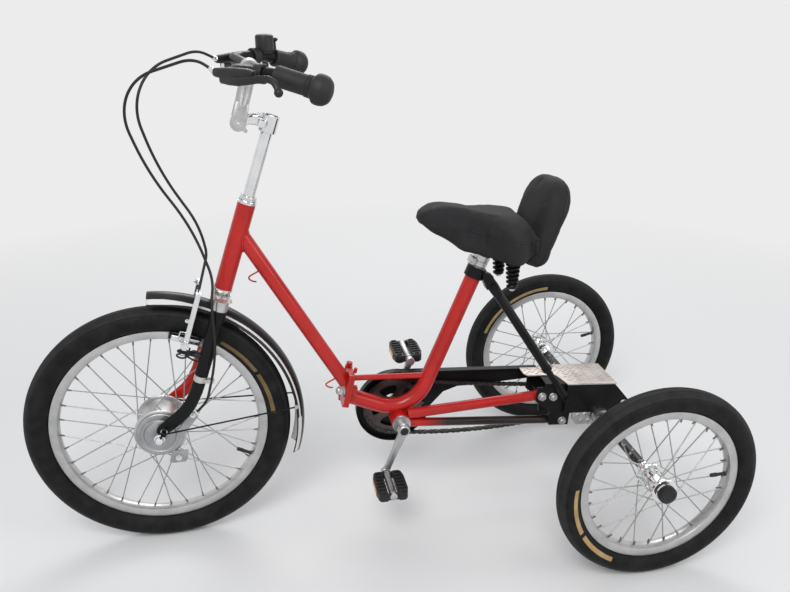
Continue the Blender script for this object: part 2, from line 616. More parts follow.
rod(form, steer_point(wire_rise, 12.0, 45.0), steer_point(wire_rise, -40.0, 45.0), 0.0009, sides=10)
hex_bolt(form, steer_point(286.0, -36.5, 48.2), steer_ahead, 4.0, 3.0, 5.2)
finished("brake_arms", form, alloy, "steering", ("rim_brake",), 30.0)
form = bmesh.new()
for sign in (1, -1):
    block(form, steer_point(pad_rise, sign * 19.4, 45.0), (62.0, 8.6, 11.0), frame_of(steer_ahead, steer_up), 2.0)
    # wires through points of rise, to the left and ahead
    spring = ((188, 56, 34), (171, 57, 34), (164, 55, 38), (162, 52, 51), (168, 51, 56), (171, 51, 44), (163, 50, 24),
              (158, 50, 8), (170, 50, 4))
    hoop = ((168, 53, 33), (182, 53, 32), (184, 53, 22), (181, 53, 14), (163, 53, 12))
    for wire, radius in ((spring, 1.8), (hoop, 1.7)):
        bent_tube(form, [steer_point(rise, sign * y, ahead) for rise, y, ahead in wire], radius, sides=8)
    rod(form, steer_point(boss_rise, sign * 49.0, 8.0), steer_point(boss_rise, sign * 49.0, 50.0), 0.0052)
    hex_bolt(form, steer_point(boss_rise, sign * 49.0, 50.0), steer_ahead, 3.6, 2.4, 5.2)
turned(form, steer_point(wire_rise, 12.0, 45.0), -left, (
    (0.0, 2.0), (0.0, 4.0), (3.0, 4.6), (5.0, 3.4), (7.0, 4.6), (9.0, 3.4), (11.0, 4.6), (13.0, 3.4), (15.0, 4.4),
    (17.0, 3.0), (21.0, 2.6), (25.0, 1.6), (25.0, 0.95),
), 24)
finished("brake_rubbers", form, black_plastic, "steering")

# Headset, quill and stem
form = bmesh.new()
turned(form, steer_foot, steer_up, (
    (294.0, 12.8), (294.0, 16.4), (295.0, 18.0), (296.6, 18.5), (298.4, 18.5), (300.0, 18.3), (300.0, 12.8),
    (294.0, 12.8),
), 56)
turned(form, steer_foot, steer_up, (
    (471.0, 12.8), (471.0, 17.8), (472.4, 18.0), (474.0, 18.0), (474.6, 16.6), (475.4, 16.6), (476.0, 17.6),
    (477.0, 17.2), (477.0, 12.8), (471.0, 12.8),
), 56)
finished("headset_rings", form, chrome_plate, "front_frame", ("headset_cups",), 30.0)
form = bmesh.new()
turned(form, steer_foot, steer_up, (
    (477.4, 12.8), (477.4, 15.4), (478.2, 16.0), (480.4, 16.0), (481.0, 14.8), (481.6, 14.8), (482.2, 15.8),
    (484.6, 15.8), (484.8, 13.0), (477.4, 12.8),
), 56)
turned(form, steer_foot, steer_up, ((425.0, 0.0), (425.0, 11.0), (631.4, 11.0), (632.0, 10.0), (632.0, 0.0)), 56)
finished("quill", form, chrome_plate, "steering", ("stem_quill",), 30.0)
quill_end = steer_point(632.0)
form = bmesh.new()
turned(form, steer_foot, steer_up, (
    (606.0, 11.1), (606.0, 15.2), (607.4, 16.2), (636.0, 16.2), (637.6, 15.0), (638.0, 12.6), (637.0, 11.1),
    (606.0, 11.1),
), 56)
arm_rings = (
    # share of the way from quill to lug, rise above the straight line, half width, half depth
    (0.0, 0.0, 9.4, 14.6), (0.2, 3.0, 9.2, 12.8), (0.42, 5.0, 8.8, 10.6), (0.65, 4.6, 8.4, 9.6),
    (0.85, 2.0, 8.6, 9.8), (1.0, 0.0, 9.6, 11.0),
)
pinch = quill_end + mm(16.0, 0, -6.0)
arm_start = quill_end + mm(11.0, 0, -6.0)
arm_run = stem_lug + mm(-4.0, 0, 0) - arm_start
lofted(form, [
    (arm_start + arm_run * share + up * rise / 1000.0, arm_run, left, wide, deep)
    for share, rise, wide, deep in arm_rings
], 28, 2.6)
rod(form, stem_lug - left * 0.012, stem_lug + left * 0.012, 0.015, sides=40)
rod(form, pinch - left * 0.019, pinch + left * 0.019, 0.0062)
turned(form, pinch + left * 0.0185, left, (
    (0.0, 0.0), (0.0, 8.0), (2.2, 8.0), (4.2, 6.8), (5.2, 4.0), (5.4, 0.0)), 32)
hex_bolt(form, pinch - left * 0.019, -left, 5.0, 4.0, 7.0)
finished("stem", form, chrome_plate, "steering", ("stem_arm",), 30.0)

# Bar post: a flattened tube that forks round the stem's lug
post_run = bar_centre - stem_lug
post_way = post_run.normalized()
post_rings = (
    # rise from the lug, half width, half depth
    (22.0, 15.0, 9.0), (26.0, 17.5, 11.2), (34.0, 17.0, 12.6), (46.0, 13.6, 13.0), (62.0, 12.0, 13.0),
    (post_run.length * 1000.0 - 8.0, 11.6, 12.8),
)
cheek_rings = (
    # rise from the lug, to the side, half width, half depth
    (0.0, 16.1, 3.9, 13.8), (12.0, 16.0, 3.8, 13.2), (24.0, 14.6, 3.6, 12.8), (36.0, 11.0, 4.0, 12.4),
)
form = bmesh.new()
lofted(form, [
    (stem_lug + post_way * rise / 1000.0, post_run, left, wide, deep) for rise, wide, deep in post_rings])
for sign in (1, -1):
    rod(form, stem_lug + left * sign * 0.0122, stem_lug + left * sign * 0.020, 0.014, sides=40)
    lofted(form, [
        (stem_lug + (post_way * rise + left * sign * y) / 1000.0, post_run, left, wide, deep)
        for rise, y, wide, deep in cheek_rings
    ], 24, 3.0)
turned(form, bar_centre - left * 0.024, left, (
    (0.0, 11.1), (0.0, 15.0), (1.2, 16.0), (46.8, 16.0), (48.0, 15.0), (48.0, 11.1), (0.0, 11.1),
), 48)
finished("post", form, satin_alloy, "steering", ("bar_post",), 30.0)
form = bmesh.new()
for sign in (1, -1):
    hex_bolt(form, stem_lug + left * sign * 0.020, left * sign, 5.0, 4.0, 7.6)
hex_bolt(form, stem_lug + mm(-8.5, 15.8, -9.5), mm(-6, 0, -7), 3.6, 6.0, 4.8)
finished("post_bolts", form, zinc_steel, "steering")

# Handlebar, grips, levers and bell
bar_radius = 11.0
bar_half = [bar_centre + mm(*corner) for corner in (
    (0, 28.0, 0), (30.0, 118.0, 8.0), (-33.0, 170.0, 6.0), (-97.0, 213.0, -12.0))]
bar_route = [mirrored(corner, -1) for corner in reversed(bar_half)] + bar_half
form = bmesh.new()
bend_radii = (40.0, 40.0, 60.0, 60.0, 40.0, 40.0)
bent_tube(form, filleted(bar_route, bend_radii, 10), bar_radius, sides=24, kind="POLY")
finished("bar", form, black_paint, "steering", ("handlebar",), 40.0)
grip_knob = (
    (58.0, 16.3), (59.4, 17.4), (61.4, 17.4), (62.8, 16.3), (64.2, 17.6), (66.2, 17.6), (67.6, 16.5), (70.0, 18.0),
    (73.0, 20.6), (75.5, 23.4), (78.5, 24.0), (84.0, 24.0), (90.0, 22.6), (95.5, 18.6), (99.0, 11.5), (100.0, 0.0),
)
form = bmesh.new()
for sign, first in ((1, 5.0), (-1, 22.0)):
    start, end = mirrored(bar_half[2], sign), mirrored(bar_half[3], sign)
    turned(form, start, end - start, ((first, 11.2), (first, 15.6), (first + 1.2, 16.5)) + grip_knob, 56)
finished("grip_pair", form, grip_rubber, "steering", ("grips",), 30.0)

housing_rings = (
    # share of the way from the clamp to the cable's mouth, rise, half height, half width
    (-0.06, 3.0, 4.6, 4.5), (0.0, 3.0, 6.8, 6.4), (0.12, 3.0, 8.0, 7.4), (0.35, 2.4, 8.4, 7.8), (0.62, 1.0, 8.6, 7.4),
    (0.86, 0.0, 8.2, 6.6), (1.0, 0.0, 7.0, 6.0), (1.05, 0.0, 5.2, 4.4),
)
lever_rings = (
    # from the middle of the bar: ahead, to the left, up; half height, half width
    (47.0, 122.0, -3.0, 7.0, 4.2), (36.0, 140.0, -4.0, 7.4, 3.4), (22.0, 160.0, -4.0, 6.8, 3.0),
    (5.0, 176.0, -1.0, 6.2, 3.0), (-10.0, 190.0, 2.0, 5.8, 3.4), (-22.0, 201.0, 3.4, 5.6, 4.0),
    (-30.0, 208.0, 0.0, 5.4, 4.6), (-34.0, 213.0, -7.0, 5.2, 5.0), (-36.0, 217.0, -15.0, 5.0, 5.0),
)
form = bmesh.new()
metal_form = bmesh.new()
for sign in (1, -1):
    mouth = bar_centre + mm(55.0, sign * 112.0, 6.0)
    lead = mm(34.0, sign * -36.0, 20.0).normalized()
    clamp_run = (mirrored(bar_half[1], sign) - mirrored(bar_half[2], sign)).normalized()
    clamp = mirrored(bar_half[2], sign) + clamp_run * 0.025
    turned(form, clamp - clamp_run * 0.008, clamp_run, (
        (0.0, 11.15), (0.0, 14.6), (1.2, 15.5), (14.8, 15.5), (16.0, 14.6), (16.0, 11.15), (0.0, 11.15),
    ), 40)
    back = clamp + mm(15.0, sign * 17.0, -2.0)
    run = mouth - back
    lofted(form, [
        (back + run * share + up * rise / 1000.0, run, up, tall, wide) for share, rise, tall, wide in housing_rings
    ], 28, 3.0)
    block(form, (clamp + back) / 2, (22.0, 14.0, 16.0), frame_of(back - clamp, up), 2.5)
    points = [bar_centre + mm(x, sign * y, z) for x, y, z, tall, wide in lever_rings]
    ends = points[:1] + points + points[-1:]
    lofted(form, [
        (point, ends[n + 2] - ends[n], up if n < 6 else mm(1, 0, 0), *lever_rings[n][3:])
        for n, point in enumerate(points)
    ], 20, 2.6)
    bmesh.ops.create_uvsphere(form, u_segments=24, v_segments=14, radius=0.007, matrix=Matrix.Translation(points[-1]))
    turned(metal_form, mouth + lead * 0.001, lead, (
        (0.0, 0.0), (0.0, 5.0), (4.0, 5.0), (4.6, 4.2), (5.4, 4.2), (6.0, 5.0), (9.4, 5.0), (10.4, 4.0), (13.0, 3.6),
        (13.0, 2.7),
    ), 28)
    pivot = bar_centre + mm(46.0, sign * 121.0, 0)
    rod(metal_form, pivot - up * 0.0115, pivot + up * 0.0135, 0.003, sides=16)
finished("lever_pair", form, black_plastic, "steering", ("brake_levers",), 30.0)
finished("lever_adjusters", metal_form, chrome_plate, "steering")

form = bmesh.new()
bell_foot = mirrored(bar_half[2], -1) + mm(-2.0, -1.5, 4.0)
turned(form, bell_foot, up, (
    (0.0, 0.0), (0.0, 15.4), (1.6, 16.4), (5.0, 16.6), (6.0, 17.5), (31.0, 17.5), (33.4, 16.6), (35.0, 14.2),
    (35.9, 9.0), (36.0, 0.0),
), 56)
stalk = mirrored(bar_half[2], -1) + mm(-20.0, -14.0, 0.0)
stalk_rings = (
    # rise, half width, half depth
    (4.0, 5.0, 5.0), (16.0, 4.0, 4.6), (24.0, 3.4, 4.2), (27.0, 7.6, 8.2), (30.0, 8.0, 8.6), (32.0, 6.0, 6.4),
)
lofted(form, [(stalk + up * rise / 1000.0, up, left, wide, deep) for rise, wide, deep in stalk_rings], 24)
finished("bell_drum", form, black_plastic, "steering", ("bell",), 30.0)

# Crank arms, caps and pedals
crank_rings = (
    # reach along the arm, outwards, half thickness, half width
    (4.0, 0.0, 5.6, 9.6), (18.0, 0.0, 5.4, 8.8), (50.0, 0.6, 5.0, 7.4), (84.0, 0.6, 4.8, 6.6), (97.0, 0.2, 5.2, 7.4),
)
crank_side, spindle_half = 0.062, 0.067
form = bmesh.new()
dark_form = bmesh.new()
rod(form, bracket - left * spindle_half, bracket + left * spindle_half, 0.0085)
for sign in (1, -1):
    out = left * sign
    centre = bracket + out * crank_side
    way = crank_run * sign
    eye = centre + way * crank_length
    lofted(form, [
        (centre + (way * reach + out * side) / 1000.0, way, left, thick, wide)
        for reach, side, thick, wide in crank_rings
    ], 28, 4.0)
    turned(form, centre - out * 0.006, out, (
        (0.0, 8.6), (0.0, 12.4), (1.0, 13.4), (9.0, 12.6), (11.6, 11.4), (12.2, 10.6), (12.2, 8.8), (10.6, 8.4),
    ), 40)
    turned(form, eye - out * 0.0058, out, (
        (0.0, 0.0), (0.0, 8.6), (0.8, 9.4), (10.8, 9.4), (11.6, 8.6), (11.6, 0.0)), 36)
    rod(form, eye, eye + out * 0.085, 0.0049)
    turned(dark_form, centre + out * 0.0045, out, ((0.0, 0.0), (0.0, 8.7), (1.2, 8.7), (1.8, 7.8), (1.4, 0.0)), 32)
finished("crank_arms", form, satin_alloy, "crank", ("cranks",), 30.0)
finished("crank_caps", dark_form, black_plastic, "crank")

pedal_block = (
    (10.5, -41.0), (24.0, -41.0), (29.0, -36.0), (32.0, -20.0), (32.0, 20.0), (29.0, 36.0), (24.0, 41.0), (10.5, 41.0),
)
pedal_inner, pedal_outer = 72.5, 154.5
for name, sign in (("left_pedal", 1), ("right_pedal", -1)):
    out = left * sign
    eye = bracket + crank_run * sign * crank_length
    middle = eye + out * (pedal_inner + pedal_outer) / 2000.0
    form, amber, bare = bmesh.new(), bmesh.new(), bmesh.new()
    for fore in (1, -1):
        plate(form, [middle + mm(fore * x, y, -8.6) for x, y in pedal_block], up * 17.2, 1.8)
        for number in range(7):
            spot = middle + mm(fore * 19.5, -34.0 + 68.0 * number / 6, 0)
            block(form, spot, (17.0 if 0 < number < 6 else 10.0, 3.4, 23.6), None, 0.8)
        block(amber, middle + mm(fore * 31.6, 0, 0), (2.2, 40.0, 11.5), None, 0.5)
        block(form, middle + mm(fore * 30.9, 0, 0), (2.0, 45.0, 15.5), None, 0.7)
    for end in (pedal_inner + 3.5, pedal_outer - 5.0):
        block(form, eye + out * end / 1000.0, (30.0, 6.0, 15.0), None, 1.5)
    turned(bare, eye + out * pedal_inner / 1000.0, out, (
        (0.2, 5.1), (0.2, 8.6), (6.0, 8.8), (10.0, 7.6), (70.0, 7.6), (73.0, 8.8), (78.0, 8.8), (80.6, 7.4),
        (81.8, 4.6), (82.2, 0.0),
    ), 36)
    finished(name + "_blocks", form, black_plastic, name + "_body", (name,), 30.0)
    finished(name + "_reflectors", amber, amber_lens, name + "_body", (), 30.0)
    finished(name + "_barrel", bare, satin_alloy, name + "_body", (), 30.0)

# Chain, chainring and driven cog
chain_side = left * -42.5 / 1000.0
pitch = 12.7
ring_teeth, cog_teeth = 32, 16
ring_radius, cog_radius = (pitch / (2 * math.sin(math.pi / teeth)) for teeth in (ring_teeth, cog_teeth))
upper_sag, lower_sag = 7.0, 19.0
ring_at, cog_at = (bracket.x * 1000.0, bracket.z * 1000.0), (axle.x * 1000.0, axle.z * 1000.0)
span_x, span_z = ring_at[0] - cog_at[0], ring_at[1] - cog_at[1]
span = math.hypot(span_x, span_z)


def sag_centre(ring_reach, cog_reach):
    """Centre of the large arc that a run of the chain hangs in."""
    along = (cog_reach ** 2 - ring_reach ** 2 + span ** 2) / (2 * span)
    across = math.sqrt(cog_reach ** 2 - along ** 2)
    return (cog_at[0] + (span_x * along - span_z * across) / span,
            cog_at[1] + (span_z * along + span_x * across) / span)


def bearing(start, end):
    return math.atan2(end[1] - start[1], end[0] - start[0])


upper_arc, lower_arc = span ** 2 / (8 * upper_sag), span ** 2 / (8 * lower_sag)
upper_centre = sag_centre(upper_arc + ring_radius, upper_arc + cog_radius)
lower_centre = sag_centre(lower_arc - ring_radius, lower_arc - cog_radius)
lower_cog = bearing(lower_centre, cog_at)
cog_top = bearing(cog_at, upper_centre)
chain_line = []
for centre, radius, start, end in (
        (upper_centre, upper_arc, bearing(upper_centre, cog_at), bearing(upper_centre, ring_at)),
        (ring_at, ring_radius, bearing(ring_at, upper_centre), bearing(lower_centre, ring_at)),
        (lower_centre, lower_arc, bearing(lower_centre, ring_at), lower_cog),
        (cog_at, cog_radius, lower_cog + 2 * math.pi * (lower_cog > cog_top), cog_top)):
    for number in range(200):
        turn = start + (end - start) * number / 200
        chain_line.append((centre[0] + radius * math.cos(turn), centre[1] + radius * math.sin(turn)))
lengths = [0.0]
for near, far in zip(chain_line, chain_line[1:] + chain_line[:1]):
    lengths.append(lengths[-1] + math.hypot(far[0] - near[0], far[1] - near[1]))
links = 2 * round(lengths[-1] / pitch / 2)


def on_chain(way):
    """Point of the chain's line at a distance along it."""
    number = max(n for n in range(len(chain_line)) if lengths[n] <= way)
    near, far = chain_line[number], chain_line[(number + 1) % len(chain_line)]
    share = (way - lengths[number]) / max(lengths[number + 1] - lengths[number], 1e-9)
    return mm(near[0] + (far[0] - near[0]) * share, 0.0, near[1] + (far[1] - near[1]) * share)


pins = [on_chain(lengths[-1] * n / links) + chain_side for n in range(links)]
inner_side, outer_side, plate_thick = 1.6, 2.7, 0.9
plate_end, plate_waist = 0.0041, 0.0031
pin_half, pin_radius, roller_half, roller_radius = 0.0036, 0.0018, 0.0016, 0.0038
form = bmesh.new()
for number, near in enumerate(pins):
    far = pins[(number + 1) % links]
    run = (far - near).normalized()
    across = run.cross(left)
    for sign in (1, -1):
        side = left * sign * (outer_side if number % 2 else inner_side) / 1000.0
        outline = []
        for centre, start in ((far, -90.0), (near, 90.0)):
            for step in range(5):
                turn = math.radians(start + 45.0 * step)
                outline.append(centre + side + (run * math.cos(turn) + across * math.sin(turn)) * plate_end)
            outline.append((near + far) / 2 + side + across * (plate_waist if start < 0 else -plate_waist))
        plate(form, outline, left * sign * plate_thick)
    rod(form, near - left * pin_half, near + left * pin_half, pin_radius, sides=8)
    rod(form, near - left * roller_half, near + left * roller_half, roller_radius, sides=10)
finished("chain_links", form, dark_chain, "rear_frame", ("chain",), 30.0)


def toothed(form, centre, teeth, radius, hole, phase):
    """Adds a flat ring spun round a hole, its rim drawn out into teeth between the chain's rollers."""
    half, root = 1.15, radius - 4.0
    tooth = (0.0, 0.6, 6.2, 6.2, 0.6)
    section = ((hole, -half), (root, -half), (root, half), (hole, half))
    spun(form, [centre + (ray(phase) * reach + left * side) / 1000.0 for reach, side in section], 1,
         cent=centre, axis=left, angle=2 * math.pi, steps=teeth * len(tooth), use_merge=True)
    for corner in form.verts:
        spoke = corner.co - centre
        spoke.y = 0.0
        if spoke.length * 1000.0 > root - 1.0:
            share = (math.atan2(spoke.z, spoke.x) - phase) * teeth / (2 * math.pi)
            corner.co += spoke.normalized() * tooth[round(share * len(tooth)) % len(tooth)] / 1000.0


ring_plane = bracket + chain_side
nearest = min(pins, key=lambda pin: abs((pin - ring_plane).length - ring_radius / 1000.0) + (pin.x <= bracket.x))
form = bmesh.new()
toothed(form, ring_plane, ring_teeth, ring_radius, 50.0, math.atan2(nearest.z - bracket.z, nearest.x - bracket.x))
turned(form, ring_plane, left, ((-1.2, 8.6), (-1.2, 24.0), (1.2, 24.0), (1.2, 8.6), (-1.2, 8.6)), 48)
turned(form, ring_plane, left, ((1.2, 8.6), (1.2, 17.0), (6.0, 15.0), (7.6, 14.0), (7.6, 8.6), (1.2, 8.6)), 40)
half_spoke = [(22.0, 11.0), (36.0, 8.0), (44.0, 9.5), (51.0, 15.5)]
for number in range(5):
    way = ray(math.radians(36.0 + 72.0 * number))
    side = way.cross(left)
    plate(form, [
        ring_plane + (way * reach + side * wide + left * -1.1) / 1000.0
        for reach, wide in half_spoke + [(reach, -wide) for reach, wide in reversed(half_spoke)]
    ], left * 2.2)
finished("chainring_web", form, ring_steel, "crank", ("chainring",), 30.0)
form = bmesh.new()
cog_plane = axle + chain_side
rear_most = min(pins, key=lambda pin: pin.x)
toothed(form, cog_plane, cog_teeth, cog_radius, 10.3, math.atan2(rear_most.z - axle.z, rear_most.x - axle.x))
turned(form, cog_plane, -left, (
    (1.15, 10.3), (1.15, 17.4), (1.8, 18.0), (12.6, 18.0), (13.4, 17.2), (13.4, 10.3), (1.15, 10.3)), 40)
finished("driven_cog", form, ring_steel, "rear_right_wheel", ("axle_sprocket",), 30.0)


# Saddle and backrest
def stuffed(name, node, swell, rounding):
    """Pad blown up by a cloth simulation from its CAD solid, which it stands for."""
    last_frame, furthest = 20, 0.003
    form = bmesh.new()
    form.from_mesh(nodes[node].data)
    bmesh.ops.remove_doubles(form, verts=form.verts, dist=1e-6)
    mesh = bpy.data.meshes.new(name)
    form.to_mesh(mesh)
    form.free()
    pad = bpy.data.objects.new(name, mesh)
    scene.collection.objects.link(pad)
    remesh = pad.modifiers.new("even", "REMESH")
    remesh.mode = "VOXEL"
    remesh.voxel_size = 0.005
    soften = pad.modifiers.new("soften", "SMOOTH")
    soften.factor = 0.5
    soften.iterations = rounding
    grow = pad.modifiers.new("grow", "DISPLACE")
    grow.strength = swell
    grow.mid_level = 0.0

    def settle():
        evaluated = pad.evaluated_get(bpy.context.evaluated_depsgraph_get())
        made = bpy.data.meshes.new_from_object(evaluated)
        pad.modifiers.clear()
        pad.data = made

    bpy.context.view_layer.update()
    settle()
    before = [corner.co.copy() for corner in pad.data.vertices]
    cloth = pad.modifiers.new("cloth", "CLOTH")
    cloth.settings.use_pressure = True
    cloth.settings.uniform_pressure_force = 4.0
    cloth.settings.effector_weights.gravity = 0.0
    cloth.settings.quality = 6
    cloth.point_cache.frame_start = 1
    cloth.point_cache.frame_end = last_frame
    for number in range(1, last_frame + 1):
        scene.frame_set(number)
    settle()
    scene.frame_set(1)
    for corner, start in zip(pad.data.vertices, before):
        moved = corner.co - start
        if moved.length > furthest:
            corner.co = start + moved.normalized() * furthest
    pad.data.materials.clear()
    pad.data.materials.append(cover_cloth)
    pad.data.shade_smooth()
    finer = pad.modifiers.new("finer", "SUBSURF")
    finer.levels = 1
    finer.render_levels = 1
    settle()
    pad.data.shade_smooth()
    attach(pad, "rear_frame")
    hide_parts(node)
    return pad


saddle_pad = stuffed("saddle_pad", "saddle", 0.0022, 8)
backrest_pad = stuffed("backrest_pad", "backrest", 0.0018, 6)


def piping(name, pad, spot, normal):
    """Thin piped seam where a plane meets a finished pad."""
    form = bmesh.new()
    form.from_mesh(pad.data)
    cut = bmesh.ops.bisect_plane(
        form, geom=form.verts[:] + form.edges[:] + form.faces[:], dist=1e-7, plane_co=spot, plane_no=normal,
    )["geom_cut"]
    rims = [part for part in cut if isinstance(part, bmesh.types.BMEdge)]
    longest = []
    while rims:
        step = rims.pop(0)
        line = [step.verts[0], step.verts[1]]
        while step:
            step = next((rim for rim in rims if line[-1] in rim.verts), None)
            if step:
                line.append(step.other_vert(line[-1]))
                rims.remove(step)
        longest = max(longest, line, key=len)
    route = [corner.co.copy() for corner in longest[:-1]]
    form.free()
    count = len(route)
    for _ in range(4):
        route = [(route[n - 1] + route[n] * 2 + route[(n + 1) % count]) / 4 for n in range(count)]
    form = bmesh.new()
    bent_tube(form, route, 1.4, sides=8, closed=True, kind="POLY")
    finished(name, form, piping_cord, "rear_frame", (), 60.0)


piping("saddle_piping", saddle_pad, post_top + mm(152.0, 0, 45.0), Vector((-0.16, 0.0, 1.0)).normalized())
back_out = ray(math.radians(19.7))
piping("backrest_piping", backrest_pad, post_top + mm(-100.0, 0, 36.0) - back_out * 0.010, back_out)

# Springs, seat post clamp and the backrest's bracket
coil_turns, coil_steps, coil_height = 9, 20, 82.0
spring_feet = [post_top + mm(-36.0, y, -92.0) for y in (43.0, -43.0)]
form = bmesh.new()
for foot in spring_feet:
    coil = []
    for step in range(coil_turns * coil_steps + 1):
        share = step / (coil_turns * coil_steps)
        radius = 9.0 + 5.6 * share
        turn = 2 * math.pi * step / coil_steps
        coil.append(foot + mm(radius * math.cos(turn), radius * math.sin(turn), 5.0 + coil_height * share))
    bent_tube(form, coil, 3.0, sides=8, kind="POLY")
    turned(form, foot, up, (
        (0.6, 0.0), (0.6, 9.0), (1.6, 10.6), (4.0, 11.4), (5.6, 10.4), (6.4, 6.0), (6.4, 0.0)), 32)
    rod(form, foot + up * 0.004, foot + up * 0.088, 0.0068, 0.0118)
finished("coil_springs", form, black_paint, "rear_frame", ("saddle_springs",), 40.0)
form = bmesh.new()
for foot in spring_feet:
    hex_bolt(form, foot + up * 0.0006, -up, 5.6, 3.6, 8.0)
for sign in (1, -1):
    hex_bolt(form, post_top + left * sign * 0.024, left * sign, 7.0, 5.0, 11.0)
seat_up = (post_top - seat_tube_top).normalized()
clamp_foot = seat_tube_top + seat_up * 0.023
turned(form, clamp_foot, seat_up, (
    (0.0, 12.8), (0.0, 15.2), (1.4, 16.4), (10.4, 16.4), (11.2, 15.4), (12.0, 15.4), (12.8, 16.4), (23.0, 16.4),
    (24.4, 15.2), (24.4, 12.8), (0.0, 12.8),
), 40)
ears = clamp_foot + seat_up * 0.010
block(form, ears + mm(17.0, 0, 4.0), (9.0, 26.0, 15.0), frame_of(Vector((1, 0, 0.4)), seat_up), 1.6)
hex_bolt(form, ears + mm(18.0, 13.0, 4.0), left, 4.6, 4.0, 6.4)
finished("seat_clamp", form, zinc_steel, "rear_frame", (), 30.0)
form = bmesh.new()
carrier = [mm(x, 0, z) for x, z in ((-246, 592), (-300, 564), (-328, 560), (-345, 574), (-353, 596), (-370, 644))]
ends = carrier[:1] + carrier + carrier[-1:]
lofted(form, [(point, ends[n + 2] - ends[n], left, 19.0, 2.6) for n, point in enumerate(carrier)], 20, 6.0)
for x, z in ((-357.832, 604.0), (-367.744, 632.0)):
    hex_bolt(form, mm(x, 0, z), -back_out, 5.0, 3.4, 7.0)
finished("backrest_carrier", form, black_paint, "rear_frame", (), 40.0)

# Strut ends
strut_top, strut_foot = mm(-240.7, 9.0, 510.3), mm(-405.0, 52.0, 253.0)
strut_run = (strut_foot - strut_top).normalized()
cap_rings = (
    # reach down the strut, to the left, half width, half depth
    (-12.0, -2.0, 7.0, 7.0), (-7.0, -1.0, 10.5, 10.5), (4.0, 0.0, 11.0, 11.5), (16.0, 0.0, 10.6, 11.0),
    (26.0, 0.0, 10.2, 10.2), (30.0, 0.0, 9.4, 9.4),
)
eye_rings = (
    # reach from the foot bolt, half width, half depth
    (-52.0, 6.9, 6.9), (-36.0, 5.6, 7.6), (-20.0, 4.4, 8.4), (4.0, 4.0, 9.2), (10.0, 3.6, 6.4),
)
form = bmesh.new()
lofted(form, [
    (strut_top + (strut_run * reach + left * side) / 1000.0, strut_run, left, wide, deep)
    for reach, side, wide, deep in cap_rings
], 28, 2.6)
hex_bolt(form, strut_top + mm(-1.0, 10.0, 0.0), left, 5.6, 4.2, 7.2)
turned(form, strut_top + strut_run * 0.227, strut_run, (
    (-6.0, 9.6), (-6.0, 10.6), (2.0, 10.6), (3.4, 9.4), (4.0, 6.9)), 32)
lofted(form, [
    (strut_foot + strut_run * reach / 1000.0, strut_run, left, wide, deep) for reach, wide, deep in eye_rings
], 28, 2.4)
hex_bolt(form, strut_foot + left * 0.0042, left, 5.6, 4.2, 7.8)
finished("strut_ends", form, black_paint, "rear_frame", (), 30.0)

# Deck: a tread plate, then the studs on its left edge and the bolts of the brackets below it
housing_ahead = ray(math.radians(4.4))
housing_up = Vector((-housing_ahead.z, 0.0, housing_ahead.x))


def housing_point(ahead, to_left, above):
    """Point in millimetres in the leaning frame of the axle housing."""
    return axle + (housing_ahead * ahead + left * to_left + housing_up * above) / 1000.0


form = bmesh.new()
deck_outline = ((-27, -48), (-27, 48), (85, 48), (96, 3), (158, 3), (166, -5), (166, -35), (85, -35), (85, -48))
plate(form, [housing_point(x, y, 76.0) for x, y in deck_outline], housing_up * 2.5, 0.4)
lozenge_ahead, lozenge_across = 12.0, 14.0
for row in range(-3, 4):
    for column in range(-2, 15):
        odd = column % 2
        x, y = column * lozenge_ahead + 3.0, (row + odd / 2) * lozenge_across
        on_deck = -22 < x < 82 and abs(y) < 42
        on_tongue = 82 <= x < 160 and -30 < y < -3
        if on_deck or on_tongue:
            slant = housing_ahead + left * (1.0 if odd else -1.0)
            block(form, housing_point(x, y, 78.9), (13.0, 3.4, 1.3), frame_of(slant, housing_up), 0.0, 0.75)
finished("tread_plate", form, tread_alloy, "rear_frame", ("deck_plate",), 30.0)
form = bmesh.new()
for number in range(11):
    stud = housing_point(-22.0 + 8.0 * number, 46.4, 78.6)
    block(form, stud, (5.0, 3.4, 3.0), frame_of(housing_ahead, housing_up), 0.5)
for y, edge_y, way in ((40.0, 48.0, left), (-26.0, -33.0, -left)):
    for x, z in ((133.0, 57.0), (108.0, 54.0), (83.4, -7.1)):
        hex_bolt(form, axle + mm(x, y, z), way, 8.2, 5.0, 9.0)
    hex_bolt(form, housing_point(-51.0, edge_y, 30.0), way, 6.0, 4.2, 8.0)
finished("bracket_bolts", form, zinc_steel, "rear_frame", (), 30.0)

# Stays: the lower one is dark behind its welded foot
stay_paint, tree, bsdf, where = shader("stay_paint", red, 0.3, coat=0.35, specular=0.25)
stay_spot = joined(tree, "SeparateXYZ", {0: where}, "X").node.outputs
between = math_node(tree, "MULTIPLY_ADD", stay_spot["X"], 0.0756, 0.2313)
lower_one = math_node(tree, "LESS_THAN", stay_spot["Z"], between)
behind = remap(tree, stay_spot["X"], 0.0, 1.0, -0.095, -0.15)
stay_red = sprayed(tree, bsdf, where, (0.405, 0.008, 0.005), (0.51, 0.014, 0.011))
dark_share = math_node(tree, "MULTIPLY", lower_one, behind)
feed(tree, bsdf.inputs["Base Color"], mixed(tree, dark_share, stay_red, (0.016, 0.011, 0.011)))
for slot in nodes["rear_stays"].material_slots:
    slot.material = stay_paint

